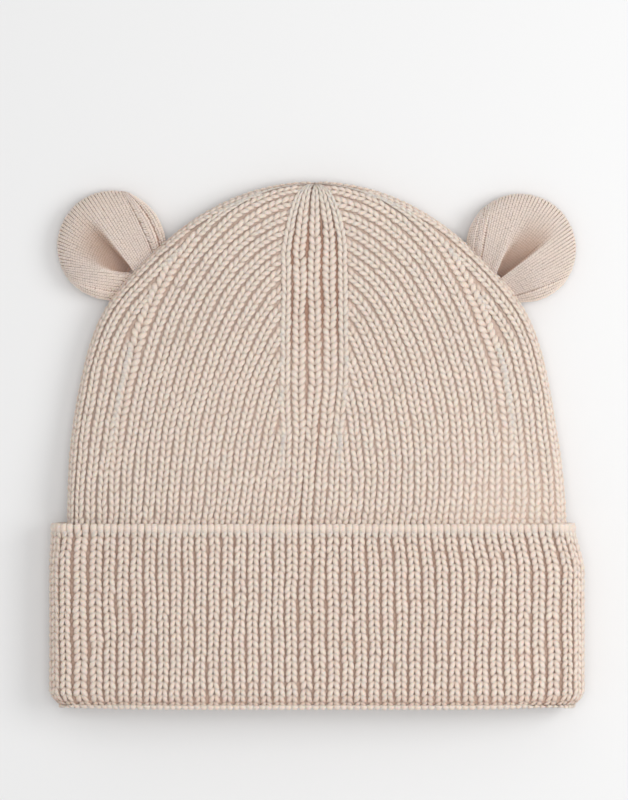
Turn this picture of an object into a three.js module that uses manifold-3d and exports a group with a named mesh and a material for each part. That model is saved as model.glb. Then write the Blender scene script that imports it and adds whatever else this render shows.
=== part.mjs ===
// Baby beanie with a turned-up cuff and two round ears, lying flat with its front up.
// Millimetres, +Z up, +Y toward the top of the hat. The origin is on the surface that
// the hat lies on, under the middle of its outline.
import * as THREE from 'three';
import Module from 'manifold-3d';

const wasm = await Module();
wasm.setup();

// Outline of the hat as it lies
const HAT_HEIGHT = 176;         // folded edge of the cuff to the top of the crown
const CUFF_HEIGHT = 61;         // folded edge to the free edge of the cuff
const CROWN_HALF_WIDTH = 83.5;  // at the free edge of the cuff
const CUFF_FLARE = 3.2;         // how much wider each side is inside the cuff
const FLARE_LENGTH = 16;        // height over which the crown widens
const CUFF_STAND_LEFT = 2.6;    // how far the cuff's free edge stands off the crown's side
const CUFF_STAND_RIGHT = 0;
const CORNER_RADIUS = 6.5;      // rounded bottom corners of the cuff
const CORNER_SPAN = 15;         // width over which the ribs bend round a corner
const CROWN_SHIFT = -0.8;       // the crown lies a little to one side of the cuff
const CROWN_POWER = 2.3;        // fullness of the crown's outline, 2 is an ellipse

// Knitted cloth
const WALL = 2.6;               // a layer of rib knit
const LAYER_GAP = 0.3;          // between layers that lie on each other
const EDGE_REACH = 4.5;         // how far the rolled side edge reaches in
const EDGE_HEIGHT = 11;         // thickness of the crown at its rolled edge
const FRONT_RISE = 5;           // how much higher the middle of the front stands
const RISE_LENGTH = 45;         // distance from the edge over which it rises
const SAG_LENGTH = 40;          // height over which the crown sinks to the surface

// Ribs, counted in each panel of the crown
const SIDE_RIBS = 9;            // side panel, half of it on the front
const FRONT_RIBS = 13;          // panel between the ribbon and the middle band
const BAND_RIBS = 5;            // middle band that runs to the tip
const BAND_EDGE_RIB = 0.55;     // width of the band's two outer ribs, share of the inner ones
const RIB_DEPTH = 1.3;          // valley between two ribs
const CREST_SHARE = 0.62;       // flat top of a cuff rib, share of its pitch
const RIBBON_OUTER_POWER = 2.8; // a ribbon of decreases runs to the tip beside each side
const RIBBON_INNER_POWER = 2.25;  // panel, between these two lines
const BAND_POWER = 1.3;
const BAND_TAPER = 24;          // height at the tip over which the band narrows
const RIM_ROUNDING = 1.3;       // rounded free edge and fold of the cuff

// Ears, soft double jersey pouches pinched at the base
const EAR_RADIUS = 18.5;
const EAR_OVERLAP = 6.9;        // how far the pouch reaches under the crown's edge
const EAR_HEIGHT = 11.5;        // top of the lobes
const EAR_EDGE_HEIGHT = 4.2;    // middle of the rounded rim
const EAR_BASE_SHARE = 0.55;    // height at the pinched base, share of the lobes'
const PIT_LENGTH = 26;          // hollow from the base toward the far rim
const PIT_SHARE = 0.62;         // its depth, share of the ear's height

// Place of each ear along the crown's edge, 0 at the cuff and 1 at the tip, and how its
// hollow is turned and how wide it opens, in degrees
const EARS = [
  { name: 'ear_left', side: -1, spot: 0.513, pitTurn: -12, pitSpread: 21 },
  { name: 'ear_right', side: 1, spot: 0.5, pitTurn: 14, pitSpread: 24 },
];

// Small folds that run out of an ear's base: direction and spread in degrees, depth as
// a share of the ear's height
const EAR_FOLDS = [
  { turn: 74, spread: 7, depth: 0.12 },
  { turn: 56, spread: 6, depth: 0.09 },
  { turn: -50, spread: 8, depth: 0.1 },
];

const TOP = HAT_HEIGHT / 2;
const BOTTOM = -HAT_HEIGHT / 2;
const CUFF_TOP = BOTTOM + CUFF_HEIGHT;
const MOUTH = BOTTOM + WALL + LAYER_GAP;
const EDGE_HALF = EDGE_HEIGHT / 2;
const CUFF_INSET = -(LAYER_GAP + WALL);
const RIBBON_RIBS = 1;
const HALF_FRONT_RIBS = SIDE_RIBS / 2 + RIBBON_RIBS + FRONT_RIBS + BAND_RIBS / 2;
const QUARTER = Math.PI / 2;

const smooth = (t) => {
  const c = THREE.MathUtils.clamp(t, 0, 1);
  return c * c * (3 - 2 * c);
};

// Length of cloth round a quarter of the rolled edge, inset from the tops of the ribs
const rollLength = (inset) => (
  QUARTER * Math.hypot(EDGE_REACH - inset, EDGE_HALF - inset) * Math.SQRT1_2);

// Distance in from the outline, as seen from above, of a length along the cloth
function seenDistance(length, inset = 0) {
  const roll = rollLength(inset);
  if (length >= roll) return length - roll + EDGE_REACH;
  return EDGE_REACH * (1 - Math.cos((length / roll) * QUARTER));
}

// Width of a rib where a quarter of the tube has this half width
const pitchFor = (halfWidth, inset) => (
  (halfWidth + rollLength(inset) - EDGE_REACH) / HALF_FRONT_RIBS);
const PITCH = pitchFor(CROWN_HALF_WIDTH, 0);
const CUFF_PITCH = pitchFor(CROWN_HALF_WIDTH + CUFF_FLARE, CUFF_INSET);

// A line from the cuff to the tip of the crown, by an angle from 0 to a right angle
class DomeLine {
  constructor(halfWidth, start, power) {
    Object.assign(this, { halfWidth, start, power });
  }

  at(angle) {
    const rise = Math.sin(angle) ** (2 / this.power);
    return [this.halfWidth * Math.cos(angle), this.start + (TOP - this.start) * rise];
  }

  widthAt(y) {
    if (y <= this.start) return this.halfWidth;
    const share = Math.min(1, (y - this.start) / (TOP - this.start));
    return this.halfWidth * Math.sqrt(1 - share ** this.power);
  }

  angleAt(y) {
    const share = THREE.MathUtils.clamp((y - this.start) / (TOP - this.start), 0, 1);
    return Math.asin(Math.min(1, share ** (this.power / 2)));
  }

  inwardAt(angle) {
    const step = 0.002;
    if (angle < step / 2) return [-1, 0];
    if (angle > QUARTER - step / 2) return [0, -1];
    const low = this.at(angle - step / 2);
    const high = this.at(angle + step / 2);
    const along = [high[0] - low[0], high[1] - low[1]];
    const length = Math.hypot(...along);
    return [-along[1] / length, along[0] / length];
  }

  offset(angle, distance) {
    const [x, y] = this.at(angle);
    const [nx, ny] = this.inwardAt(angle);
    return [x + nx * distance, y + ny * distance];
  }
}

const outline = new DomeLine(CROWN_HALF_WIDTH, CUFF_TOP, CROWN_POWER);
const insideEdge = (ribs) => CROWN_HALF_WIDTH - seenDistance(ribs * PITCH);
const ribbonOuter = new DomeLine(insideEdge(SIDE_RIBS / 2), CUFF_TOP, RIBBON_OUTER_POWER);
const ribbonInner = new DomeLine(
  insideEdge(SIDE_RIBS / 2 + RIBBON_RIBS), CUFF_TOP, RIBBON_INNER_POWER);
const bandSide = new DomeLine((BAND_RIBS / 2) * PITCH, TOP - BAND_TAPER, BAND_POWER);

// Half width below the cuff's free edge, where `stand` is how far it stands off there
function edgeAt(y, stand = 0) {
  const flare = stand + (CUFF_FLARE - stand) * smooth((CUFF_TOP - y) / FLARE_LENGTH);
  return CROWN_HALF_WIDTH + flare - cornerAt(y);
}

// How far a rounded bottom corner is cut back at a height
function cornerAt(y) {
  const below = THREE.MathUtils.clamp(1 - (y - BOTTOM) / CORNER_RADIUS, 0, 1);
  return CORNER_RADIUS * (1 - Math.sqrt(1 - below ** 2));
}

const liftAt = (y) => (WALL + LAYER_GAP) * (1 - smooth((y - CUFF_TOP) / SAG_LENGTH));
const shiftAt = (y) => CROWN_SHIFT * smooth((y - CUFF_TOP) / SAG_LENGTH);

// Nearest point of the outline to a point of the right half
const OUTLINE_STEPS = 160;
function nearestEdge(x, y, stand) {
  if (y <= CUFF_TOP) {
    const edge = edgeAt(y, stand);
    return { foot: [edge, y], inward: [-1, 0], distance: edge - x };
  }
  const gapTo = (angle) => {
    const [ex, ey] = outline.at(angle);
    return Math.hypot(ex - x, ey - y);
  };
  let best = 0;
  for (let i = 1; i <= OUTLINE_STEPS; i += 1) {
    if (gapTo((i / OUTLINE_STEPS) * QUARTER) < gapTo((best / OUTLINE_STEPS) * QUARTER)) best = i;
  }
  let low = (Math.max(0, best - 1) / OUTLINE_STEPS) * QUARTER;
  let high = (Math.min(OUTLINE_STEPS, best + 1) / OUTLINE_STEPS) * QUARTER;
  for (let i = 0; i < 30; i += 1) {
    const third = (high - low) / 3;
    if (gapTo(low + third) < gapTo(high - third)) high -= third;
    else low += third;
  }
  const angle = (low + high) / 2;
  return { foot: outline.at(angle), inward: outline.inwardAt(angle), distance: gapTo(angle) };
}

// A point this near the outline lies on it
const ON_EDGE = 0.001;

// A point of the knitted tube. x and y are as seen from above on its right half, inset
// is how deep under the tops of the ribs it lies, face is 1 on the front and -1 behind,
// hand is 1 on the right half and -1 on the left, and stand is as in edgeAt.
function tubePoint(x, y, inset, face, hand, stand = 0) {
  const { foot, inward, distance: measured } = nearestEdge(x, y, stand);
  const distance = measured < ON_EDGE ? 0 : measured;
  const spread = Math.min(1, distance / EDGE_REACH);
  const roll = Math.acos(1 - spread);
  const seen = distance < EDGE_REACH ? inset + (EDGE_REACH - inset) * spread : distance;
  const climb = THREE.MathUtils.clamp((distance - EDGE_REACH) / RISE_LENGTH, 0, 1);
  const rise = face > 0 ? FRONT_RISE * (1 - (1 - climb) ** 2) : 0;
  const px = foot[0] + inward[0] * seen;
  const py = foot[1] + inward[1] * seen;
  const z = EDGE_HALF + liftAt(y) + face * (EDGE_HALF - inset) * Math.sin(roll) + rise;
  return [hand * px + shiftAt(y), py, z];
}

// Collects patches of quads and joins the points that they share
class Skin {
  constructor() {
    this.points = [];
    this.triangles = [];
    this.known = new Map();
  }

  point(place) {
    const key = place.map((value) => Math.round(value * 2000)).join(',');
    if (!this.known.has(key)) {
      this.known.set(key, this.points.length);
      this.points.push(place);
    }
    return this.known.get(key);
  }

  triangle(a, b, c, flip) {
    if (a === b || b === c || c === a) return;
    this.triangles.push(flip ? [a, c, b] : [a, b, c]);
  }

  patch(rows, flip) {
    const grid = rows.map((row) => row.map((place) => this.point(place)));
    for (let i = 0; i + 1 < grid.length; i += 1) {
      for (let j = 0; j + 1 < grid[i].length; j += 1) {
        const [a, b] = [grid[i][j], grid[i][j + 1]];
        const [c, d] = [grid[i + 1][j + 1], grid[i + 1][j]];
        this.triangle(a, b, c, flip);
        this.triangle(a, c, d, flip);
      }
    }
  }

  solid() {
    return new wasm.Manifold(new wasm.Mesh({
      numProp: 3,
      vertProperties: new Float32Array(this.points.flat()),
      triVerts: new Uint32Array(this.triangles.flat()),
    }));
  }
}

const steps = (count) => Array.from({ length: count + 1 }, (_, i) => i / count);

// Halves an interval until `inside` changes at its end
function edgeOf(inside) {
  let low = 0;
  let high = QUARTER;
  for (let i = 0; i < 40; i += 1) {
    const middle = (low + high) / 2;
    if (inside(middle)) low = middle;
    else high = middle;
  }
  return (low + high) / 2;
}

// The rib lines of one quarter of the crown, at every half rib. Those of the side panel
// follow the outline and end on the ribbon, and those of the front panel follow the
// ribbon and end on the middle band. All the rows of a patch run up from the cuff.
const SIDE_ROWS = 7;
const sideLengths = steps(SIDE_RIBS).map((share) => (share * SIDE_RIBS * PITCH) / 2);
const sideEnds = sideLengths.map((length) => edgeOf((angle) => {
  const [x, y] = outline.offset(angle, seenDistance(length));
  return x > ribbonOuter.widthAt(y);
}));
const frontLengths = steps(2 * FRONT_RIBS).map((share) => share * FRONT_RIBS * PITCH);
const frontEnds = frontLengths.map((length) => edgeOf((angle) => {
  const [x, y] = ribbonInner.offset(angle, length);
  return x > bandSide.widthAt(y);
}));
const sideTop = sideEnds.map((angle, i) => outline.offset(angle, seenDistance(sideLengths[i])));
sideTop[0] = [0, TOP];
sideTop[sideTop.length - 1] = [ribbonOuter.halfWidth, CUFF_TOP];
const frontTop = frontEnds.map((angle, i) => ribbonInner.offset(angle, frontLengths[i]));
frontTop[0] = [0, TOP];
frontTop[frontTop.length - 1] = [bandSide.halfWidth, CUFF_TOP];
const ribbonShares = sideTop.map(([, y]) => ribbonOuter.angleAt(y) / QUARTER).reverse();

const sidePatch = steps(SIDE_ROWS).map((share) => sideLengths.map((length, i) => (
  share === 1 ? sideTop[i] : outline.offset(share * sideEnds[i], seenDistance(length)))));

const ribbonPatch = ribbonShares.map((share, row) => {
  const outer = sideTop[sideTop.length - 1 - row];
  const inner = ribbonInner.at(share * QUARTER);
  return [outer, [(outer[0] + inner[0]) / 2, (outer[1] + inner[1]) / 2], inner];
});

const frontPatch = ribbonShares.map((share, row) => frontLengths.map((length, i) => (
  row === ribbonShares.length - 1 ? frontTop[i] : ribbonInner.offset(share * frontEnds[i], length))));

// The rib lines of the band, as shares of its half width from its side to its middle
const bandReach = (halfRibs) => (
  halfRibs < 2 ? (halfRibs * BAND_EDGE_RIB) / 2 : BAND_EDGE_RIB + (halfRibs - 2) / 2);
const bandLines = steps(BAND_RIBS).map((_, i) => 1 - bandReach(i) / bandReach(BAND_RIBS));
const bandPatch = [...frontTop].reverse().map(([x, y]) => bandLines.map((share) => [x * share, y]));

// Straight rib lines at and below the cuff's free edge, from the fold edge of the tube
// to its middle, where the lengths are measured at this half width
function straightColumns(y, lengths, halfWidth, inset, stand = 0) {
  const edge = edgeAt(y, stand) + cornerAt(y);
  return lengths.map((length) => {
    const x = ((halfWidth - seenDistance(length, inset)) * edge) / halfWidth;
    return [x - cornerAt(y) * smooth(1 - (edge - x) / CORNER_SPAN), y];
  });
}

const BAND_START = SIDE_RIBS + 2 * (RIBBON_RIBS + FRONT_RIBS);
const halfRibs = steps(2 * HALF_FRONT_RIBS).map((_, i) => (
  i <= BAND_START ? (i * PITCH) / 2
    : HALF_FRONT_RIBS * PITCH - bandSide.halfWidth * bandLines[i - BAND_START]));

// Depth of a rib line, counted in half ribs from the fold edge: the ribbon lies between
// two valleys, and every second line from them is one too
const depthOf = (index) => ((index - SIDE_RIBS) % 2 === 0 ? RIB_DEPTH : 0);

function eachQuarter(draw) {
  for (const face of [1, -1]) {
    for (const hand of [1, -1]) draw(face, hand, face * hand > 0);
  }
}

function crownSkin() {
  const skin = new Skin();
  const below = [MOUTH, CUFF_TOP - FLARE_LENGTH, CUFF_TOP].map((y) => (
    straightColumns(y, halfRibs, CROWN_HALF_WIDTH, 0)));
  const frontStart = SIDE_RIBS + 2 * RIBBON_RIBS;
  const patches = [
    { rows: below, first: 0, endsInValley: false },
    { rows: sidePatch, first: 0, endsInValley: true },
    { rows: ribbonPatch, first: SIDE_RIBS, endsInValley: false },
    { rows: frontPatch, first: frontStart, endsInValley: true },
    { rows: bandPatch, first: BAND_START, endsInValley: false },
  ];
  eachQuarter((face, hand, flip) => {
    for (const { rows, first, endsInValley } of patches) {
      const grid = rows.map((row, r) => row.map(([x, y], i) => {
        const isEnd = endsInValley && r === rows.length - 1;
        const depth = isEnd ? RIB_DEPTH : depthOf(first + i);
        return tubePoint(x, y, y < TOP - ON_EDGE ? depth : 0, face, hand);
      }));
      skin.patch(grid, flip);
      if (rows === below) capRow(skin, grid[0], !flip);
    }
  });
  return skin;
}

// Closes the open end of a tube with a fan from its middle
function capRow(skin, row, flip) {
  const middle = [0, row[0][1], EDGE_HALF + liftAt(row[0][1])];
  skin.patch([row, row.map(() => middle)], flip);
}

// The tube without ribs, closed at its mouth, to hollow the hat and to clear its pieces
const SMOOTH_ROWS = [0, 0.12, 0.24, 0.36, 0.48, 0.6, 0.7, 0.79, 0.87, 0.94, 1];
const SMOOTH_COLUMNS = [1, 0.993, 0.98, 0.965, 0.946, 0.88, 0.78, 0.64, 0.48, 0.3, 0.14, 0];
function smoothSolid(inset, mouth) {
  const skin = new Skin();
  const domeRows = SMOOTH_ROWS.map((share) => outline.at(share * QUARTER));
  eachQuarter((face, hand, flip) => {
    const rows = [...belowRows(mouth).slice(0, -1).map((y) => [edgeAt(y), y]), ...domeRows];
    const grid = rows.map(([x, y]) => SMOOTH_COLUMNS.map((share) => (
      tubePoint(x * share, y, inset, face, hand))));
    skin.patch(grid, flip);
    capRow(skin, grid[0], !flip);
  });
  return skin.solid();
}

const belowRows = (mouth) => [
  mouth, ...[0.3, 1].map((share) => BOTTOM + WALL + CORNER_RADIUS * share),
  CUFF_TOP - FLARE_LENGTH, CUFF_TOP - FLARE_LENGTH / 2, CUFF_TOP];

const standFor = (hand) => (hand > 0 ? CUFF_STAND_RIGHT : CUFF_STAND_LEFT);

// The space in the cuff for the crown, open past the cuff's free edge
function cuffSpace() {
  const skin = new Skin();
  eachQuarter((face, hand, flip) => {
    const stand = standFor(hand);
    const grid = belowRows(BOTTOM + WALL).map((y) => SMOOTH_COLUMNS.map((share) => (
      tubePoint(edgeAt(y, stand) * share, y, -LAYER_GAP, face, hand, stand))));
    grid.push(grid[grid.length - 1].map(([x, y, z]) => [x, y + WALL, z]));
    skin.patch(grid, flip);
    capRow(skin, grid[0], !flip);
    capRow(skin, grid[grid.length - 1], flip);
  });
  return skin.solid();
}

// Rib edges of a quarter of the cuff: the valley between two ribs and the two edges of
// each flat rib, from the fold edge to the middle
function cuffColumns() {
  const half = CREST_SHARE / 2;
  const columns = [{ length: 0, depth: 0 }];
  for (let rib = 0; rib < HALF_FRONT_RIBS; rib += 1) {
    columns.push({ length: (rib + half) * CUFF_PITCH, depth: 0 });
    columns.push({ length: (rib + 0.5) * CUFF_PITCH, depth: RIB_DEPTH });
    columns.push({ length: (rib + 1 - half) * CUFF_PITCH, depth: 0 });
  }
  const middle = HALF_FRONT_RIBS * CUFF_PITCH;
  const lastDepth = HALF_FRONT_RIBS % 1 === 0 ? 0 : RIB_DEPTH;
  return [...columns.filter(({ length }) => length < middle - ON_EDGE),
    { length: middle, depth: lastDepth }];
}

// Heights up the cuff, how far its outside is drawn in there and how deep the valleys are
const CUFF_ROWS = [
  { y: BOTTOM, drawn: RIM_ROUNDING, valley: 0 },
  { y: BOTTOM + 1.5 * RIM_ROUNDING, drawn: 0, valley: 0.9 },
  { y: BOTTOM + CORNER_RADIUS, drawn: 0, valley: 1 },
  { y: CUFF_TOP - FLARE_LENGTH, drawn: 0, valley: 1 },
  { y: CUFF_TOP - 1.5 * RIM_ROUNDING, drawn: 0, valley: 1 },
  { y: CUFF_TOP - RIM_ROUNDING / 2, drawn: RIM_ROUNDING / 4, valley: 0.3 },
  { y: CUFF_TOP, drawn: RIM_ROUNDING, valley: 0 },
];

function cuffSkin() {
  const skin = new Skin();
  const columns = cuffColumns();
  const lengths = columns.map((column) => column.length);
  const halfWidth = CROWN_HALF_WIDTH + CUFF_FLARE;
  eachQuarter((face, hand, flip) => {
    const stand = standFor(hand);
    const grid = CUFF_ROWS.map(({ y, drawn, valley }) => (
      straightColumns(y, lengths, halfWidth, CUFF_INSET, stand).map(([x], i) => (
        tubePoint(x, y, CUFF_INSET + drawn + columns[i].depth * valley, face, hand, stand)))));
    skin.patch(grid, flip);
    capRow(skin, grid[0], !flip);
    capRow(skin, grid[grid.length - 1], flip);
  });
  return skin;
}

const bell = (value, width) => Math.exp(-((value / width) ** 2));

// One ear: a round soft pad, pinched at its base so that a hollow opens between two lobes
const EAR_TOP_RINGS = [0, 0.16, 0.32, 0.48, 0.62, 0.76, 0.87, 0.95, 1];
const EAR_UNDER_RINGS = [0, 0.5, 0.78, 0.93, 1];
const EAR_SEGMENTS = 36;
function earSkin({ side, spot, pitTurn, pitSpread }) {
  const [baseX, baseY] = outline.at(spot * QUARTER);
  const [inX, inY] = outline.inwardAt(spot * QUARTER);
  const reach = EAR_RADIUS - EAR_OVERLAP;
  const radians = THREE.MathUtils.degToRad;

  const place = (ring, turn, isTop) => {
    const out = reach + EAR_RADIUS * ring * Math.cos(turn);
    const across = EAR_RADIUS * ring * Math.sin(turn);
    const x = baseX - inX * out + inY * across;
    const y = baseY - inY * out - inX * across;
    const z = isTop ? topAt(out, across, ring) : EAR_EDGE_HEIGHT * (1 - Math.sqrt(1 - ring ** 5));
    return [side * x + CROWN_SHIFT, y, z];
  };

  const topAt = (out, across, ring) => {
    const lobe = EAR_HEIGHT * THREE.MathUtils.lerp(EAR_BASE_SHARE, 1, smooth(out / EAR_RADIUS));
    const full = EAR_EDGE_HEIGHT + (lobe - EAR_EDGE_HEIGHT) * Math.sqrt(1 - ring ** 3);
    const far = Math.hypot(out, across);
    const bearing = Math.atan2(across, out);
    const fade = (1 - smooth(far / PIT_LENGTH)) * (1 - ring ** 6);
    const pit = PIT_SHARE * bell(bearing - radians(pitTurn), radians(pitSpread)) * fade;
    const folds = EAR_FOLDS.reduce((sum, fold) => (
      sum + fold.depth * bell(bearing - radians(fold.turn), radians(fold.spread))), 0);
    const near = smooth(far / EAR_OVERLAP) * (1 - ring ** 6);
    return full * (1 - pit - folds * near);
  };

  const skin = new Skin();
  const circle = steps(EAR_SEGMENTS).map((share) => share * 2 * Math.PI);
  circle[EAR_SEGMENTS] = 0;
  [true, false].forEach((isTop) => {
    const rings = isTop ? EAR_TOP_RINGS : EAR_UNDER_RINGS;
    const rows = rings.map((ring) => circle.map((turn) => place(ring, turn, isTop)));
    skin.patch(rows, isTop === side > 0);
  });
  return skin;
}

function largestOf(solid) {
  return solid.decompose().sort((a, b) => b.volume() - a.volume())[0];
}

const beige = new THREE.Color(0.86, 0.74, 0.64);
function meshOf(name, solid) {
  const { vertProperties, triVerts } = solid.getMesh();
  const geometry = new THREE.BufferGeometry();
  geometry.setAttribute('position', new THREE.BufferAttribute(vertProperties, 3));
  geometry.setIndex(new THREE.BufferAttribute(triVerts, 1));
  geometry.computeVertexNormals();
  const material = new THREE.MeshStandardMaterial({ color: beige, roughness: 0.95, metalness: 0 });
  const mesh = new THREE.Mesh(geometry, material);
  mesh.name = name;
  return mesh;
}

const hollow = smoothSolid(WALL, BOTTOM - WALL);
const clearance = smoothSolid(-LAYER_GAP, BOTTOM + WALL);
const hat = new THREE.Group();
hat.add(meshOf('crown', crownSkin().solid().subtract(hollow)));
hat.add(meshOf('cuff', cuffSkin().solid().subtract(cuffSpace()).subtract(hollow)));
for (const ear of EARS) {
  hat.add(meshOf(ear.name, largestOf(earSkin(ear).solid().subtract(clearance))));
}

export default hat;
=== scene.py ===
"""A knitted baby beanie with a turned-up cuff and two round ears, lying front up.

The cloth is drawn as it is knitted: every stitch of the ribs is a V of two short yarn
legs that follows the rib lines of the crown and the cuff, over a ground cloth coloured
darker as painted shade, and the ears are a finer plain knit that fans out of their
pinched bases. The yarn too darkens with depth, as painted shade.
All sizes are in millimetres until a mesh is made, in the frame of the solids.
"""
import math

import bpy
import numpy as np
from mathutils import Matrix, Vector


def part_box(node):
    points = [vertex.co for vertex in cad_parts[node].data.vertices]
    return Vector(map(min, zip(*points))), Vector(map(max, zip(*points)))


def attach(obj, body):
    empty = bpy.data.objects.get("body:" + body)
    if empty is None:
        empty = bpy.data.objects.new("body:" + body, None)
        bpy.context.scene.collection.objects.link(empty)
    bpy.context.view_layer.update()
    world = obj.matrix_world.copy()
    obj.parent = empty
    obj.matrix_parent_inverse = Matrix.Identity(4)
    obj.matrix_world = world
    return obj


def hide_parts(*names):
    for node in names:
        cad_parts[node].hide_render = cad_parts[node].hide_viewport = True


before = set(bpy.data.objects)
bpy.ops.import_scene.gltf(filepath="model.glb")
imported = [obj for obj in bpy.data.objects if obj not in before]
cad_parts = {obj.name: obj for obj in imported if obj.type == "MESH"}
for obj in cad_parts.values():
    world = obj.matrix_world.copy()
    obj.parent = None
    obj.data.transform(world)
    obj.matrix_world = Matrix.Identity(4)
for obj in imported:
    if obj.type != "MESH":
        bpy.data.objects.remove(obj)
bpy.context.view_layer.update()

MM = 0.001
QUARTER = math.pi / 2
rng = np.random.default_rng(11)


def cad_reach(node, corner, axis):
    """One coordinate of a solid's box, in millimetres."""
    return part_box(node)[corner][axis] / MM


# Places that follow the frame
TOP = cad_reach("crown", 1, 1)
BOTTOM = cad_reach("cuff", 0, 1)
CUFF_TOP = cad_reach("cuff", 1, 1)
CUFF_HALF_WIDTH = cad_reach("cuff", 1, 0)

# Cloth sizes, the same as those of the solids but for the span of the corners
WALL = 2.6  # a layer of rib knit
LAYER_GAP = 0.3  # between layers that lie on each other
CUFF_INSET = -(WALL + LAYER_GAP)
CUFF_FLARE = 3.2  # how much wider each side is inside the cuff
FLARE_LENGTH = 16.0
CUFF_STAND_LEFT = 2.6  # how far the cuff's free edge stands off the crown's side
CUFF_STAND_RIGHT = 0.0
CORNER_RADIUS = 6.5  # rounded bottom corners of the cuff
CORNER_SPAN = 28.0  # width over which the ribs bend round a corner
CROWN_HALF_WIDTH = CUFF_HALF_WIDTH + CUFF_INSET - CUFF_FLARE
CROWN_SHIFT = -0.8  # the crown lies a little to one side of the cuff
CROWN_POWER = 2.3  # fullness of the crown's outline, 2 is an ellipse
EDGE_REACH = 4.5  # how far the rolled side edge reaches in
EDGE_HALF = 5.5  # half the thickness of the crown there
FRONT_RISE = 5.0  # how much higher the middle of the front stands
RISE_LENGTH = 45.0
SAG_LENGTH = 40.0  # height over which the crown sinks to the surface

# Ribs, the same as those of the solids but for the widths in the band
SIDE_RIBS = 9
RIBBON_RIBS = 1
FRONT_RIBS = 13
BAND_RIBS = 5
BAND_EDGE_RIB = 0.75  # width of the band's two outer ribs, share of the inner ones
BAND_SPREAD = 0.11  # how much wider than its five ribs the band is near the tip
HALF_RIBS = SIDE_RIBS / 2 + RIBBON_RIBS + FRONT_RIBS + BAND_RIBS / 2
RIBBON_OUTER_POWER = 2.8
RIBBON_INNER_POWER = 2.25
BAND_POWER = 1.3
BAND_TAPER = 24.0  # height at the tip over which the band closes
BAND_NARROWING = -12.0  # height where it starts to widen and its outermost ribs to narrow
NARROWING_LENGTH = 35.0

# How the ribs lie in the photograph
SHOULDER = 0.025  # how far the crown swells out above its ears, as a share
SHOULDER_ANGLE = 0.575  # where that is fullest, by the outline's angle, and how widely
SHOULDER_SPAN = 0.2
CROWN_LEAN = -4.2  # the middle ribs of the crown lean to one side at the cuff
LEAN_LENGTH = 60.0
LEFT_LEAN, RIGHT_LEAN = 2.0, 8.0  # powers by which the lean fades toward each side
CUFF_TURN = 1.2  # the cuff's middle rib lies a little to one side
# How far a rib of the cuff lies to the right of its even place, by that place
CUFF_DRIFT = np.array([
    (-96.0, 0.0), (-85.0, 0.4), (-76.0, 2.1), (-56.0, 2.2), (-40.0, 0.9), (-18.0, 0.0),
    (-7.0, -0.7), (8.0, -0.3), (50.0, -0.5), (70.0, 0.0), (84.0, 1.2), (96.0, 0.0),
])
CROWN_TUCK = 5.0  # how far the crown's stitches go on under the cuff
END_SINK = 0.45  # how deep a rib's last stitches sink, and over what length
END_LENGTH = 3.0
RIB_TUCK = 0.25  # how far a rib ends under the one it meets, in pitches
# Sideways wander of a rib: length of the wave, turn from rib to rib, start and height
WAVES = ((9.0, 0.33, 1.0, 0.16), (3.7, 0.9, 0.0, 0.09))

# Knit
CROWN_COURSE = 2.35  # height of a row of stitches
CUFF_COURSE = 2.28
CROWN_RIB_SHARE = 0.47  # half width of a rib's yarn, share of its pitch
SIDE_OPENING = 0.07  # how much narrower the ribs are at the sides of the crown
TIP_OPENING = 0.07  # and toward its tip
BAND_OPENING = 0.01  # and in the middle of the band
MIDDLE_OPENING = 0.04  # and beside the middle rib down to the cuff
CUFF_RIB_SHARE = 0.44
SIDE_FADE = 5  # ribs over which the narrowing at the sides fades
TIP_START, TIP_START_LENGTH = 20, 25  # heights where that toward the tip comes and goes
TIP_END, TIP_END_LENGTH = 72, 8
# How much painted shade darkens the valleys in these places, on the ribs and on the cloth
SIDE_DARK, TIP_DARK, BAND_DARK, MIDDLE_DARK = 0.5, 0.3, 0.6, 0.7
CLOTH_MIDDLE_DARK = 0.75
CLOTH_MIDDLE_REACH = 0.8  # in pitches
CROWN_GROUND = 1.15  # the ground cloth under the tops of the ribs
CUFF_GROUND = 1.5
CROWN_WANDER, CUFF_WANDER = 1.0, 1.1
ROW_JITTER = 0.05  # chance differences: of a stitch's place, in rows
PLUMP_JITTER = 0.04  # of its width
ACROSS_JITTER = 0.045  # of its place across the rib
DEPTH_JITTER = 0.05  # and of how deep it lies
STRAND_JITTER = 0.06
EAR_ROW_JITTER, EAR_ACROSS_JITTER = 0.05, 0.03
DEPTH_LIMITS = (0.4, 1.1)  # a narrow rib is flatter, within these shares
YARN_PATTERN = 20  # stretch of the yarn's pattern that pieces are taken from
LINE_POINTS = 700  # points of a rib line from the cuff to the tip
LINE_STEP = 0.5
BAND_TIP_POINTS = 60
EDGE_POINTS = 241  # points of the outline, to look for the nearest one
SEARCH_ROUNDS = 4  # steps from it to the foot of a point, and their limit
SEARCH_LIMIT = 0.01
SEARCH_SHARE = 20000  # how many points are looked for at once
ANGLE_STEP = 1e-4

# One leg of a rib's stitch, from its foot in the middle of the rib to its outer top:
# across and radius as shares of the rib's half width, along in rows, depth in millimetres
RIB_LEG = np.array([
    (0.19, -0.68, 1.15, 0.30),
    (0.31, -0.38, 0.86, 0.44),
    (0.50, -0.02, 0.72, 0.52),
    (0.65, 0.33, 0.84, 0.47),
    (0.67, 0.68, 1.20, 0.28),
])
RIB_HALF_WIDTH = 1.95
LEG_SIDES = 5
LEG_FLATNESS = 0.72  # a leg is pressed flatter than it is wide
# Section of the body of a rib under its stitches: share of the half width, and depth
# as a share of the ground's
RIB_CORE = np.array([(-1.0, 0.98), (-0.62, 0.70), (0.0, 0.95), (0.62, 0.70), (1.0, 0.98)])

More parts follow.
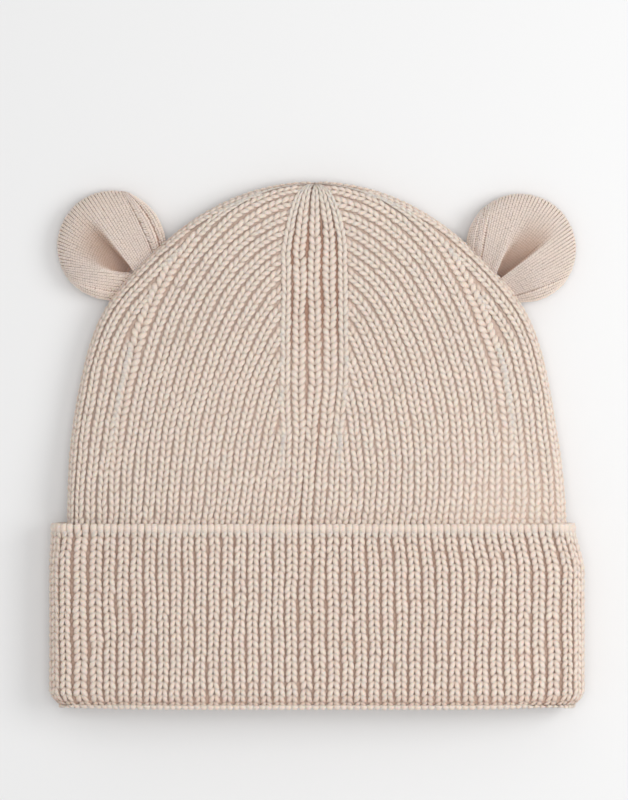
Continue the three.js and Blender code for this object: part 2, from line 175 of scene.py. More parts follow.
# The cuff's rim, fold and inside
CUFF_RIM = 1.6  # where the ribs start under the rounded rim
RIM_ROUNDING = 1.3
RIM_LIFT = 0.8  # how far the rim's loops stand above the ribs' cloth
INSIDE_ROWS = 8
INSIDE_RIB = 0.8  # depth of the ribs on the crown's inner face
CUFF_INSIDE = 27.0  # how far the cuff's cloth goes up inside
# Strands over the cuff's rim and along its fold: across, along, depth and radius
RIM_LOOP = np.array([
    (0.0, -3.1, 1.35, 0.80),
    (0.0, -1.6, 0.95, 1.10),
    (0.0, -0.2, 0.76, 1.30),
    (0.0, 1.2, 0.72, 1.34),
    (0.0, 2.6, 0.74, 1.30),
    (0.0, 4.6, 0.95, 1.10),
])
FOLD_STRAND = np.array([
    (-1.35, -0.20, 1.10, 0.50),
    (-0.60, -0.08, 0.30, 0.98),
    (0.60, 0.08, 0.30, 0.98),
    (1.35, 0.20, 1.10, 0.50),
])
FOLD_STRAND_TURN = 0.86  # where along the fold its row of yarn lies
RIB_END_TURN = 0.3  # the ribs stop above that row
RIB_START_TURN = 1.7  # and start again on the inside
STRAND_FLATNESS = 0.7
STRAND_SIDES = 6
NORMAL_STEP = 0.2  # between the two depths that give a strand its outward direction
# painted shade: a strand takes less of the depth's painted shade, as if it lay this much higher
STRAND_PALER = 0.5  # a strand is coloured as if it lay this much higher
STRAND_PATTERN = 1.5  # and takes this much of the yarn's pattern

# Rows and steps of the cloths under the stitches
CLOTH_COLUMNS = 3  # for each rib
CLOTH_STEP = 3.0
CLOTH_ANGLES = 48
SIDE_CROWDING = 0.75  # power that crowds the columns at the sides
CUFF_CLOTH_START = 0.9
FOLD_ROWS = 12
INSIDE_STEP = 4.0

# Ears: pads of fine plain knit whose columns of stitches fan out of a pinched base.
# Places are measured from the middle of an ear's disc, across toward the crown.
EAR_RADIUS = 18.5
EAR_FULLNESS = 0.3  # how much further out the yarn lies than the disc
EAR_OUTWARD = 0.8  # and how far the whole ear is moved out
EAR_TOP = 10.6
EAR_BASE_TOP = 6.6
EAR_RIM = 4.2  # height of the middle of the rounded rim
EAR_TUCK = 0.06  # how far an ear goes on under the crown's edge, by its own steps
TUCK_HEADING = 0.7  # its pace there, on along its columns and in toward the crown
EAR_UNDERSIDE = 0.3  # height of its underside
EAR_COURSE = 0.86  # height of a row of its stitches
LOBE_LENGTH = 0.45  # way from the base by which a lobe has its full height
# The hollow is level at the base. By the way from there, its floor comes to slope up
# from the steep side to the gentle one.
FLOOR_START, FLOOR_LENGTH, FLOOR_SLOPE = 0.12, 0.42, 0.75
STEEP_EDGE = 0.16  # its edges, as shares of its width
GENTLE_EDGE, GENTLE_WIDENING = 0.10, 0.25
BASE_EDGE = 0.06
PIT_FULL, PIT_FADE = 0.38, 0.52  # where it starts to fade toward the rim, and how far on
# The ridges beside it: how many columns past its edges, and how wide
STEEP_RIDGE, STEEP_RIDGE_WIDTH = 1.2, 2.0
GENTLE_RIDGE, GENTLE_RIDGE_WIDTH = 1.5, 2.5
PIT_RIDGE = 0.9  # their height
# Painted shade on the ears' yarn: how much deep colour it takes in a hollow and between columns
PIT_SHADE = 1.0  # how much of the deep colour the yarn in a hollow takes
GROOVE_SHADE = 1.7  # and the yarn between two columns
FOLD_CREASE = 0.9  # depth of a crease, and its width in columns
CREASE_WIDTH = 0.42

# How the columns run: how many up to here, their base, the bearing of their rim end in
# degrees, and how far they bow out
LEFT_COLUMNS = np.array([
    (0, -1.7, -18.6, 223.0, 1.3),
    (10, 6.0, -9.0, 201.0, 0.0),
    (30, 6.7, -8.2, 125.0, 0.0),
    (42, 12.8, -2.5, 81.0, 0.2),
    (49, 18.3, 0.7, 72.0, 3.2),
])
RIGHT_COLUMNS = np.array([
    (0, 2.3, -17.8, 220.0, 2.5),
    (4, 3.3, -16.2, 208.0, 0.6),
    (18, 8.3, -10.8, 155.0, 0.0),
    (34, 8.7, -10.3, 95.0, 0.0),
    (47, 15.0, -5.3, 50.0, 0.3),
    (53, 18.4, -1.3, 40.0, 1.6),
])
# How far an ear is moved down, the hollow between two columns, its depth, the side where
# it drops steeply, and the columns of the creases where a layer lies over the next
EARS = {
    "ear_left": dict(hand=-1, lower=0.8, columns=LEFT_COLUMNS, pit=(10, 30), pit_depth=3.2,
                     steep=1, creases=(3.5, 43.2, 46.0)),
    "ear_right": dict(hand=1, lower=0.2, columns=RIGHT_COLUMNS, pit=(18, 34), pit_depth=2.7,
                      steep=-1, creases=(3.8, 44.6, 48.4)),
}
# One leg of the ear's stitches, as for the ribs
JERSEY_LEG = np.array([
    (0.18, -0.58, 0.56, 0.32),
    (0.42, 0.00, 0.34, 0.48),
    (0.64, 0.58, 0.56, 0.31),
])
JERSEY_HALF_WIDTH = 0.6
JERSEY_SIDES = 4
EAR_DEPTH_LIMITS = (0.35, 1.15)
EAR_GROUND = 0.70  # the ground cloth under the tops of the stitches
COLUMN_STEP, LOOP_STEP = 0.08, 0.01
COLUMN_POINTS = 240  # along a column, to measure its length
PAD_ROWS, PAD_UNDER_ROWS = 36, 22
PAD_CROWDING = 0.35  # how much its columns are crowded at its two sides

# Colours of the yarn and jersey: their own colour on top, and painted shade deep between the ribs
# and at the darkest
YARN_AND_SHADE_COLOURS = ((0.82, 0.695, 0.605, 1.0), (0.65, 0.49, 0.405, 1.0), (0.16, 0.09, 0.065, 1.0))
JERSEY_AND_SHADE_COLOURS = ((0.98, 0.815, 0.715, 1.0), (0.62, 0.41, 0.315, 1.0), (0.46, 0.27, 0.20, 1.0))
# Colours of the ground cloths, dark and light ends of their fibre noise, browner than the yarn as
# painted shade
CROWN_GROUND_SHADE_COLOURS = ((0.50, 0.37, 0.30, 1.0), (0.62, 0.49, 0.42, 1.0))
CUFF_GROUND_SHADE_COLOURS = ((0.44, 0.30, 0.235, 1.0), (0.59, 0.44, 0.36, 1.0))
EAR_GROUND_SHADE_COLOURS = ((0.42, 0.27, 0.21, 1.0), (0.54, 0.38, 0.30, 1.0))
# painted shade: how much the ground's colour is darkened in the darkest valleys
VALLEY_SHADE_DARKENING = (-0.30, -0.44, -0.50)  # of the ground's colour in the darkest valleys

# Materials
MATH, VECTOR_MATH = "ShaderNodeMath", "ShaderNodeVectorMath"
# painted shade: the yarn's colour darkens with its depth value, to the darkest at this depth
RAMP_DEPTH = 2.0  # depth in millimetres that has the darkest colour
RAMP_START, RAMP_MIDDLE = 0.075, 0.5
SHADE_GAIN = 0.016  # how much one piece of yarn differs from the next
PLY_PITCH = 2.0  # twist of the yarn's plies along it, and how many there are
PLIES = 3
PLY_HEIGHT = 0.35  # of the fuzz's
YARN_RELIEF, JERSEY_RELIEF, GROUND_RELIEF = 0.7, 0.2, 0.6
YARN_BUMP, GROUND_BUMP = 0.0002, 0.0004
YARN_FUZZ, GROUND_FUZZ = 2600.0, 900.0
GROUND_RAMP = (0.35, 0.7)

# Light and camera, in metres and watts
KEY_PLACE, KEY_SIZE, KEY_POWER = (0.56, 0.08, 0.57), 0.5, 2.65
FILL_PLACE, FILL_SIZE, FILL_POWER = (0.0, 0.0, 1.8), 1.2, 9.5
SKY_STRENGTH = 0.59
FLOOR_HALF = 3.0
EYE_PLACE = (-0.001, 0.01467, 1.5)
SEEN_LEVEL = 0.009  # height at which the picture's scale is that of the photograph
SEEN_HEIGHT = 0.2667  # what the picture's 800 pixels show, at 3 to the millimetre


def smooth(t):
    """Eases from 0 to 1."""
    c = np.clip(t, 0.0, 1.0)
    return c * c * (3 - 2 * c)


def unit(vectors):
    return vectors / np.linalg.norm(vectors, axis=-1, keepdims=True)


def between(x, knots, values):
    """Values between knots, for each column of a table."""
    return np.stack([np.interp(x, knots, column) for column in values.T], -1)


def lengths_along(path):
    return np.concatenate([[0], np.cumsum(np.linalg.norm(np.diff(path, axis=0), axis=1))])


def roll_length(inset):
    """Length of cloth round a quarter of the rolled side edge."""
    return QUARTER * math.hypot(EDGE_REACH - inset, EDGE_HALF - inset) * math.sqrt(0.5)


def seen_distance(length, roll):
    """Distance in from the outline, seen from above, of a length along the cloth."""
    rolled = EDGE_REACH * (1 - np.cos(np.clip(length / roll, 0, 1) * QUARTER))
    return np.where(length >= roll, length - roll + EDGE_REACH, rolled)


def cloth_length(distance, roll):
    """The length along the cloth at a distance in from the outline, seen from above."""
    turn = np.arccos(1 - np.clip(distance / EDGE_REACH, 0, 1)) / QUARTER
    return np.where(distance < EDGE_REACH, turn * roll, distance - EDGE_REACH + roll)


CROWN_ROLL = roll_length(0.0)
CUFF_ROLL = roll_length(CUFF_INSET)
CUFF_EDGE = CROWN_HALF_WIDTH + CUFF_FLARE
PITCH = (CROWN_HALF_WIDTH + CROWN_ROLL - EDGE_REACH) / HALF_RIBS
CUFF_PITCH = (CUFF_EDGE + CUFF_ROLL - EDGE_REACH) / HALF_RIBS
CUFF_HALF_ROUND = 2 * HALF_RIBS * CUFF_PITCH


class DomeLine:
    """A line from the cuff to the tip of the crown, by an angle up to a right angle."""

    def __init__(self, half_width, start, power, shoulder=0.0):
        self.half_width, self.start, self.power = half_width, start, power
        self.shoulder = shoulder

    def at(self, angle):
        swell = 1 + self.shoulder * np.exp(-((angle - SHOULDER_ANGLE) / SHOULDER_SPAN) ** 2)
        rise = np.sin(angle) ** (2 / self.power) * swell
        x = self.half_width * np.cos(angle) * swell
        return np.stack([x, self.start + (TOP - self.start) * rise], -1)

    def width_at(self, y):
        share = np.clip((y - self.start) / (TOP - self.start), 0, 1)
        return self.half_width * np.sqrt(1 - share ** self.power)

    def inward_at(self, angle, step=0.001):
        ends = self.at(np.minimum(angle + step, QUARTER)), self.at(np.maximum(angle - step, 0))
        along = unit(ends[0] - ends[1])
        return np.stack([-along[..., 1], along[..., 0]], -1)

    def offset(self, angle, distance):
        return self.at(angle) + self.inward_at(angle) * distance


outline = DomeLine(CROWN_HALF_WIDTH, CUFF_TOP, CROWN_POWER, SHOULDER)


def inside_edge(ribs):
    """Half width of a line so many ribs in from the fold edge."""
    return CROWN_HALF_WIDTH - float(seen_distance(ribs * PITCH, CROWN_ROLL))


ribbon_outer = DomeLine(inside_edge(SIDE_RIBS / 2), CUFF_TOP, RIBBON_OUTER_POWER)
ribbon_inner = DomeLine(inside_edge(SIDE_RIBS / 2 + RIBBON_RIBS), CUFF_TOP, RIBBON_INNER_POWER)
band_side = DomeLine(BAND_RIBS / 2 * PITCH, TOP - BAND_TAPER, BAND_POWER)


def band_narrowing(y):
    """From 0 below the stretch where the band changes to 1 above it."""
    return smooth((y - BAND_NARROWING) / NARROWING_LENGTH)


def band_half_width(y):
    return band_side.width_at(y) * (1 + BAND_SPREAD * band_narrowing(y))


def corner_at(y):
    """How far a rounded bottom corner is cut back at a height."""
    below = np.clip(1 - (y - BOTTOM) / CORNER_RADIUS, 0, 1)
    return CORNER_RADIUS * (1 - np.sqrt(1 - below ** 2))


def straight_edge(y, stand=0.0):
    """Half width below the cuff's free edge, without the rounded bottom corners."""
    return CROWN_HALF_WIDTH + stand + (CUFF_FLARE - stand) * smooth((CUFF_TOP - y) / FLARE_LENGTH)


def sag_at(y):
    """From 0 at the cuff to 1 where the crown has sunk to the surface."""
    return smooth((y - CUFF_TOP) / SAG_LENGTH)


edge_angles = np.linspace(0, QUARTER, EDGE_POINTS)
edge_places = outline.at(edge_angles)


def nearest_edge(points):
    """Feet on the outline, inward directions and signed distances in, of many points."""
    edge = straight_edge(points[:, 1]) - corner_at(points[:, 1])
    feet = np.stack([edge, points[:, 1]], -1)
    inward = np.tile([-1.0, 0.0], (len(points), 1))
    distance = edge - points[:, 0]
    high = np.flatnonzero(points[:, 1] > CUFF_TOP)
    for chunk in np.array_split(high, 1 + len(high) // SEARCH_SHARE):
        p = points[chunk]
        best = ((p[:, None] - edge_places[None]) ** 2).sum(-1).argmin(1)
        angle = edge_angles[best]
        for _ in range(SEARCH_ROUNDS):
            foot = outline.at(angle)
            ahead = (outline.at(np.minimum(angle + ANGLE_STEP, QUARTER)) - foot) / ANGLE_STEP
            gain = ((p - foot) * ahead).sum(-1) / np.maximum((ahead ** 2).sum(-1), 1e-9)
            angle = angle + np.clip(gain, -SEARCH_LIMIT, SEARCH_LIMIT)
            # the ends of the outline have no direction
            angle = np.clip(angle, 1e-5, QUARTER - 2 * ANGLE_STEP)
        feet[chunk] = outline.at(angle)
        inward[chunk] = outline.inward_at(angle)
        distance[chunk] = ((p - feet[chunk]) * inward[chunk]).sum(-1)
    return feet, inward, distance


def on_tube(feet, inward, length, roll, inset, y, hand):
    """Points of the tube, by the length of cloth in from the outline, negative behind."""
    turn = np.clip(np.abs(length) / roll, 0, 1)
    seen = np.where(turn < 1, inset + (EDGE_REACH - inset) * (1 - np.cos(turn * QUARTER)),
                    np.abs(length) - roll + EDGE_REACH)
    climb = np.clip((np.abs(length) - roll) / RISE_LENGTH, 0, 1)
    rise = np.where(length > 0, FRONT_RISE * (1 - (1 - climb) ** 2), 0.0)
    half = np.sign(length) * (EDGE_HALF - inset) * np.sin(turn * QUARTER)
    z = EDGE_HALF + (WALL + LAYER_GAP) * (1 - sag_at(y)) + half + rise
    flat = feet + inward * seen[:, None]
    return np.stack([hand * flat[:, 0] + CROWN_SHIFT * sag_at(y), flat[:, 1], z], -1)


def lean_at(x, y):
    """How far the crown's ribs lean to one side above the cuff."""
    left = 1 - np.clip((y - CUFF_TOP) / LEAN_LENGTH, 0, 1)
    fade = np.where(x < 0, LEFT_LEAN, RIGHT_LEAN)
    return CROWN_LEAN * left ** 2 * (1 - np.clip(np.abs(x) / CROWN_HALF_WIDTH, 0, 1) ** fade)


def crown_place(points, inset, face, hand):
    """Points of the crown from its cloth laid flat: as seen from above, but unrolled at
    the side, where a point past the unrolled edge lies on the other face."""
    mirror = np.where(points[:, 0] < 0, -1.0, 1.0)
    feet, inward, distance = nearest_edge(points * np.stack([mirror, np.ones_like(mirror)], -1))
    length = (distance + CROWN_ROLL - EDGE_REACH) * face
    placed = on_tube(feet, inward, length, CROWN_ROLL, inset, points[:, 1], hand * mirror)
    placed[:, 0] += lean_at(placed[:, 0], points[:, 1])
    return placed


def cuff_place(around, height, inset):
    """Points of the cuff, by the length round it from the middle of its front."""
    around = (around + CUFF_HALF_ROUND) % (2 * CUFF_HALF_ROUND) - CUFF_HALF_ROUND
    hand = np.where(around < 0, -1.0, 1.0)
    level = np.clip(height, BOTTOM, CUFF_TOP)
    edge = straight_edge(level, np.where(hand > 0, CUFF_STAND_RIGHT, CUFF_STAND_LEFT))
    length = HALF_RIBS * CUFF_PITCH - np.abs(around)
    x = (CUFF_EDGE - seen_distance(np.abs(length), CUFF_ROLL)) * edge / CUFF_EDGE
    x = x - corner_at(level) * smooth(1 - (edge - x) / CORNER_SPAN)
    edge = edge - corner_at(level)
    distance = np.clip(edge - x, 0, None)
    along = cloth_length(distance, CUFF_ROLL)
    feet = np.stack([edge, height], -1)
    inward = np.tile([-1.0, 0.0], (len(feet), 1))
    return on_tube(feet, inward, np.sign(length) * along, CUFF_ROLL, inset, height, hand)


def link(name, data):
    """A new object in the scene."""
    made = bpy.data.objects.new(name, data)
    bpy.context.scene.collection.objects.link(made)
    return made


def mesh_object(name, points, quads, values=None, uvs=None):
    """A smooth mesh from arrays in millimetres, with float values at its points."""
    mesh = bpy.data.meshes.new(name)
    mesh.vertices.add(len(points))
    mesh.vertices.foreach_set("co", (points * MM).astype(np.float32).ravel())
    corners = quads.ravel().astype(np.int32)
    mesh.loops.add(len(corners))
    mesh.loops.foreach_set("vertex_index", corners)
    mesh.polygons.add(len(quads))
    mesh.polygons.foreach_set("loop_start", np.arange(len(quads), dtype=np.int32) * quads.shape[1])
    for key, value in (values or {}).items():
        floats = mesh.attributes.new(key, "FLOAT", "POINT")
        floats.data.foreach_set("value", np.asarray(value, np.float32).ravel())
    if uvs is not None:
        layer = mesh.uv_layers.new(name="yarn")
        layer.data.foreach_set("uv", uvs.astype(np.float32)[corners].ravel())
    mesh.update(calc_edges=True)
    mesh.validate()
    mesh.shade_smooth()
    return link(name, mesh)


def ring_points(side, up, turns, flatness=1.0):
    """Places round a yarn's middle, for each of its rings."""
    return (side[:, None] * np.cos(turns)[None, :, None]
            + up[:, None] * np.sin(turns)[None, :, None] * flatness)


def pattern_places(along, turns):
    """Where the points of a yarn lie in its pattern."""
    places = np.broadcast_arrays(along[:, None], (turns / 2 / math.pi)[None])
    return np.stack(places, -1).reshape(-1, 2)


def leg_shape(rings, sides, half_width, course):
    """Points of the two legs of a stitch: across, along and depth, the faces between
    them, and where each point lies on the yarn."""
    turns = np.arange(sides) / sides * 2 * math.pi + QUARTER
    scale = np.array([half_width, course, 1.0])
    centre = rings[:, :3] * scale
    ahead = unit(np.gradient(centre, axis=0))
    side = unit(np.cross(ahead, (0.0, 0.0, 1.0)))
    up = np.cross(side, ahead) * LEG_FLATNESS
    ring = ring_points(side, up, turns)
    points = (centre[:, None] + ring * (rings[:, 3] * half_width)[:, None, None]) / scale
    points, yarn = points.reshape(-1, 3), pattern_places(np.linspace(0, 1, len(rings)), turns)
    quads = grid_quads(len(rings), sides, True)
    both = np.concatenate([quads, quads[:, ::-1] + len(points)])
    return np.concatenate([points, points * (-1, 1, 1)]), both, np.concatenate([yarn, yarn])


def grid_quads(rows, columns, closed=False):
    """Faces between the points of a grid, round again to its first column if closed."""
    r = np.arange(rows - 1)[:, None]
    c = np.arange(columns if closed else columns - 1)[None]
    after = (c + 1) % columns
    return np.stack([r * columns + c, r * columns + after, (r + 1) * columns + after,
                     (r + 1) * columns + c], -1).reshape(-1, 4)


class Yarn:
    """Collects pieces of yarn and turns them into one mesh."""

    def __init__(self):
        self.points, self.quads, self.depths, self.shades, self.uvs = [], [], [], [], []
        self.count = 0

    def add(self, points, quads, depth, uv, length):
        """Adds equal pieces, each with so many points, that share their faces and uvs."""
        pieces = len(points) // length
        starts = self.count + np.arange(pieces)[:, None, None] * length
        self.quads.append((starts + quads[None]).reshape(-1, 4))
        uvs = np.tile(uv, (pieces, 1))
        # each piece takes its own stretch of the yarn's pattern
        uvs[:, 0] += np.repeat(rng.uniform(0, YARN_PATTERN, pieces), length)
        self.uvs.append(uvs)
        self.points.append(points)
        self.depths.append(depth)
        self.shades.append(np.repeat(rng.normal(0, 1, pieces), length))
        self.count += len(points)

    def piece(self, name, material):
        # the depth value sets the yarn's painted shade; the shade value is its random tone
        values = {"depth": np.concatenate(self.depths), "shade": np.concatenate(self.shades)}
        piece = mesh_object(name, np.concatenate(self.points), np.concatenate(self.quads), values,
                            np.concatenate(self.uvs))
        piece.data.materials.append(material)
        return piece


class RibYarn(Yarn):
    """Stitches of ribs, each a V of two legs over the body of its rib."""

    def __init__(self, course, rib_share, ground, wander):
        super().__init__()
        self.course, self.rib_share = course, rib_share
        self.ground, self.wander = ground, wander
        self.shape, self.faces, self.yarn = leg_shape(RIB_LEG, LEG_SIDES, RIB_HALF_WIDTH, course)

    def rib(self, places, widths, place, index, dark=0.0):
        """Adds one rib along its places, by its widths, with this much painted shade in its
        valleys.
        """
        reach = lengths_along(places)
        ahead = unit(np.gradient(places, reach, axis=0))

        def bend(along, across, depth):
            inside = np.clip(along, 0, reach[-1])
            heading = between(inside, reach, ahead)
            at = between(inside, reach, places) + heading * (along - inside)[..., None]
            width = np.interp(inside, reach, widths)
            side = np.stack([heading[..., 1], -heading[..., 0]], -1)
            offset = across * width * self.rib_share + waver(index, along) * self.wander
            sink = END_SINK * smooth(1 - (reach[-1] - along) / END_LENGTH)
            depth = np.maximum(depth * np.clip(width / PITCH, *DEPTH_LIMITS) + sink, 0).ravel()
            flat = at + side * offset[..., None]
            return place(flat.reshape(-1, 2), depth), depth

        count = int(math.ceil(reach[-1] / self.course))
        middles = (np.arange(count) + 0.5 + rng.normal(0, ROW_JITTER, count)) * self.course
        shape = self.shape[None]
        along = middles[:, None] + shape[..., 1] * self.course
        plump = 1 + rng.normal(0, PLUMP_JITTER, (count, 1))
        across = shape[..., 0] * plump + rng.normal(0, ACROSS_JITTER, (count, 1))
        depth = shape[..., 2] + np.abs(rng.normal(0, DEPTH_JITTER, (count, 1)))
        points, depth = bend(along, across, depth)
        self.add(points, self.faces, depth, self.yarn, len(self.shape))

        marks = np.linspace(0, reach[-1], count + 1)[:, None] + np.zeros(len(RIB_CORE))
        across = RIB_CORE[None, :, 0] + 0 * marks
        points, depth = bend(marks, across, RIB_CORE[None, :, 1] * self.ground + 0 * marks)
        uv = np.stack([marks.ravel() / self.course, np.tile(RIB_CORE[:, 0], count + 1)], -1)
        # painted shade: the sides of the rib's body are coloured darker by its dark value
        darker = np.interp(marks, reach, dark + 0 * reach) * np.abs(across)
        depth = np.minimum(depth, 1.0) + darker.ravel()
        self.add(points, grid_quads(count + 1, len(RIB_CORE)), depth, uv, len(points))


def waver(index, along):
    """Sideways wander of a rib line, much the same on neighbouring ribs."""
    return sum(height * np.sin(along / length + turn * index + start)
               for length, turn, start, height in WAVES)


def crown_lines():
    """Rib lines of a quarter of the crown on the cloth laid flat: points, pitches and
    how many pitches from the fold edge each starts."""
    lines = []
    angles = np.linspace(0, QUARTER, LINE_POINTS)
    below = np.arange(-CROWN_TUCK, 0, LINE_STEP)[:, None]
    excess = CROWN_ROLL - EDGE_REACH

    def add(line, pitch, start_rib):
        """Keeps a line with its hidden stretch under the cuff."""
        low = np.concatenate([np.full_like(below, line[0, 0]), CUFF_TOP + below], 1)
        pitch = np.concatenate([np.full(len(below), pitch[0]), pitch])
        lines.append((np.concatenate([low, line]), pitch, start_rib))

    def add_up_to(line, half_width, start_rib):
        """Keeps a line up to where it meets the one at this half width."""
        kept = (half_width(line[:, 1]) - line[:, 0]) / PITCH < RIB_TUCK
        line = line[:len(line) if kept.all() else max(2, int(kept.argmin()))]
        add(line, np.full(len(line), PITCH), start_rib)

    for k in range(SIDE_RIBS // 2 + 1):
        add_up_to(outline.offset(angles, k * PITCH - excess), ribbon_outer.width_at, k)
    outer, inner = ribbon_outer.at(angles), ribbon_inner.at(angles)
    middle = (outer + inner) / 2
    ahead = unit(np.gradient(middle, axis=0))
    apart = outer - inner
    gap = np.abs(apart[:, 0] * ahead[:, 1] - apart[:, 1] * ahead[:, 0])
    add(middle, gap, SIDE_RIBS / 2 + 0.5)
    for k in range(FRONT_RIBS):
        add_up_to(ribbon_inner.offset(angles, (k + 0.5) * PITCH), band_half_width,
                  SIDE_RIBS / 2 + RIBBON_RIBS + k + 0.5)
    heights = np.concatenate([np.arange(CUFF_TOP, TOP - BAND_TAPER, LINE_STEP),
                              band_side.at(np.linspace(0, QUARTER, BAND_TIP_POINTS))[:, 1]])
    half = band_half_width(heights)
    # its outermost ribs are as wide as the others at the cuff and narrow above
    narrow = 1 - (1 - BAND_EDGE_RIB) * band_narrowing(heights)
    edges = [0.5 + k + 0 * narrow for k in range(BAND_RIBS // 2)] + [BAND_RIBS / 2 - 1 + narrow]
    edges = np.array(edges) / edges[-1]
    for k in range(BAND_RIBS // 2 + 1):
        low = -edges[0] if k == 0 else edges[k - 1]
        line = np.stack([half * (low + edges[k]) / 2, heights], -1)
        add(line, half * (edges[k] - low), HALF_RIBS - k)
    return lines


def tip_share(y):
    """How fully a height lies in the stretch toward the tip where the ribs are narrower."""
    start = smooth((y - TIP_START) / TIP_START_LENGTH)
    return start * (1 - smooth((y - TIP_END) / TIP_END_LENGTH))


def opening(y, rib):
    """How much narrower a rib is than its share of the crown, which opens its valleys, and
    how much painted shade darkens these."""
    tip = tip_share(y)
    side = math.exp(-(rib / SIDE_FADE) ** 2)
    band = float(rib > HALF_RIBS - BAND_RIBS / 2) * tip
    middle = float(rib == HALF_RIBS)
    opened = (SIDE_OPENING * side + TIP_OPENING * tip + BAND_OPENING * band
              + MIDDLE_OPENING * middle)
    dark = (SIDE_DARK * side + TIP_DARK * tip + BAND_DARK * band
            + MIDDLE_DARK * middle * (1 - tip))
    return opened, dark


def crown_stitches():
    """Stitches of the front and of the back of the crown. The fold rib at each side
    goes with the front."""
    made = {face: RibYarn(CROWN_COURSE, CROWN_RIB_SHARE, CROWN_GROUND, CROWN_WANDER)
            for face in (1, -1)}
    for face in (1, -1):
        for hand in (1, -1):
            for points, pitch, rib in crown_lines():
                if (rib == 0 and face < 0) or (rib == HALF_RIBS and hand < 0):
                    continue
                opened, dark = opening(points[:, 1], rib)
                made[face].rib(points, pitch * (1 - opened),
                               lambda flat, inset: crown_place(flat, inset, face, hand),
                               hand * rib, dark)
    return made[1], made[-1]


# The cuff's cloth from its rim down its outside, round the fold and up inside
FOLD_RADIUS = (WALL - CUFF_INSET) / 2
FOLD_Y = BOTTOM + FOLD_RADIUS
CUFF_DROP = CUFF_TOP - FOLD_Y
FOLD_ARC = math.pi * FOLD_RADIUS


def cuff_profile(along, depth):
    """Height and inset of a point this far along the cuff's cloth from its rim."""
    turn = np.clip((along - CUFF_DROP) / FOLD_RADIUS, 0, math.pi)
    down = np.minimum(along, CUFF_DROP)
    up = np.maximum(along - CUFF_DROP - FOLD_ARC, 0)
    radius = FOLD_RADIUS - depth
    height = CUFF_TOP - down + up - radius * np.sin(turn)
    inset = (CUFF_INSET + WALL) / 2 - radius * np.cos(turn)
    return height, inset


CUFF_RIBS = int(round(4 * HALF_RIBS))


def cuff_cloth_place(flat, depth):
    """Points of the cuff by the lengths round it and along its cloth from the rim."""
    height, inset = cuff_profile(flat[:, 1], depth)
    return cuff_place(flat[:, 0], height, inset)


def rim_place(flat, depth):
    """Points of the cuff's rounded rim, by the lengths round it and up over it."""
    turn = np.clip(flat[:, 1] / RIM_ROUNDING, 0, math.pi)
    past = np.minimum(flat[:, 1], 0) - np.maximum(flat[:, 1] - math.pi * RIM_ROUNDING, 0)
    height = CUFF_TOP + RIM_LIFT - RIM_ROUNDING + past + (RIM_ROUNDING - depth) * np.sin(turn)
    inset = CUFF_INSET + RIM_ROUNDING - (RIM_ROUNDING - depth) * np.cos(turn)
    return cuff_place(flat[:, 0], height, inset)


def cuff_stitches():
    """Stitches of the cuff's front and back, down its outside and round its fold, with
    the loops over its rim and the row of yarn along its fold."""
    made = {face: RibYarn(CUFF_COURSE, CUFF_RIB_SHARE, CUFF_GROUND, CUFF_WANDER)
            for face in (1, -1)}
    outside = np.arange(CUFF_RIM, CUFF_DROP + RIB_END_TURN * FOLD_RADIUS, LINE_STEP)
    inside = np.arange(CUFF_DROP + RIB_START_TURN * FOLD_RADIUS,
                       CUFF_DROP + FOLD_ARC + INSIDE_ROWS * CUFF_COURSE, LINE_STEP)
    fold = CUFF_DROP + FOLD_STRAND_TURN * FOLD_RADIUS
    even = (np.arange(CUFF_RIBS + 1) - CUFF_RIBS / 2) * CUFF_PITCH + CUFF_TURN
    arounds = even + np.interp(even, *CUFF_DRIFT.T)
    for k in range(CUFF_RIBS):
        around = arounds[k]
        width = (arounds[k + 1] - arounds[k - 1] if k else 2 * CUFF_PITCH) / 2
        face = 1 if abs(around) < HALF_RIBS * CUFF_PITCH else -1
        for along in (outside, inside):
            line = np.stack([np.full_like(along, around), along], -1)
            made[face].rib(line, np.full(len(line), width), cuff_cloth_place, k)
        for half in (-1, 1):
            middle = around + half * width / 4
            strand(made[face], RIM_LOOP, middle, 0.0, rim_place)
            strand(made[face], FOLD_STRAND, middle, fold, cuff_cloth_place)
    return made[1], made[-1]


def strand(yarn, rings, around, along, place):
    """Adds one short strand of yarn, by a table of rings on the cuff's cloth."""
    jitter = rng.normal(0, STRAND_JITTER, 2)
    centre = rings[:, :3] + (around + jitter[0], along + jitter[1], 0.0)
    path = place(centre[:, :2], centre[:, 2])
    normal = unit(place(centre[:, :2], centre[:, 2] - NORMAL_STEP) - path)
    side = unit(np.cross(unit(np.gradient(path, axis=0)), normal))
    turns = np.arange(STRAND_SIDES) / STRAND_SIDES * 2 * math.pi
    ring = ring_points(side, normal, turns, STRAND_FLATNESS)
    points = path[:, None] + ring * rings[:, 3][:, None, None]
    depth = np.repeat(np.maximum(rings[:, 2] - STRAND_PALER, 0), STRAND_SIDES)
    uv = pattern_places(np.linspace(0, STRAND_PATTERN, len(rings)), turns)
    yarn.add(points.reshape(-1, 3), grid_quads(len(rings), STRAND_SIDES, True), depth, uv, len(uv))


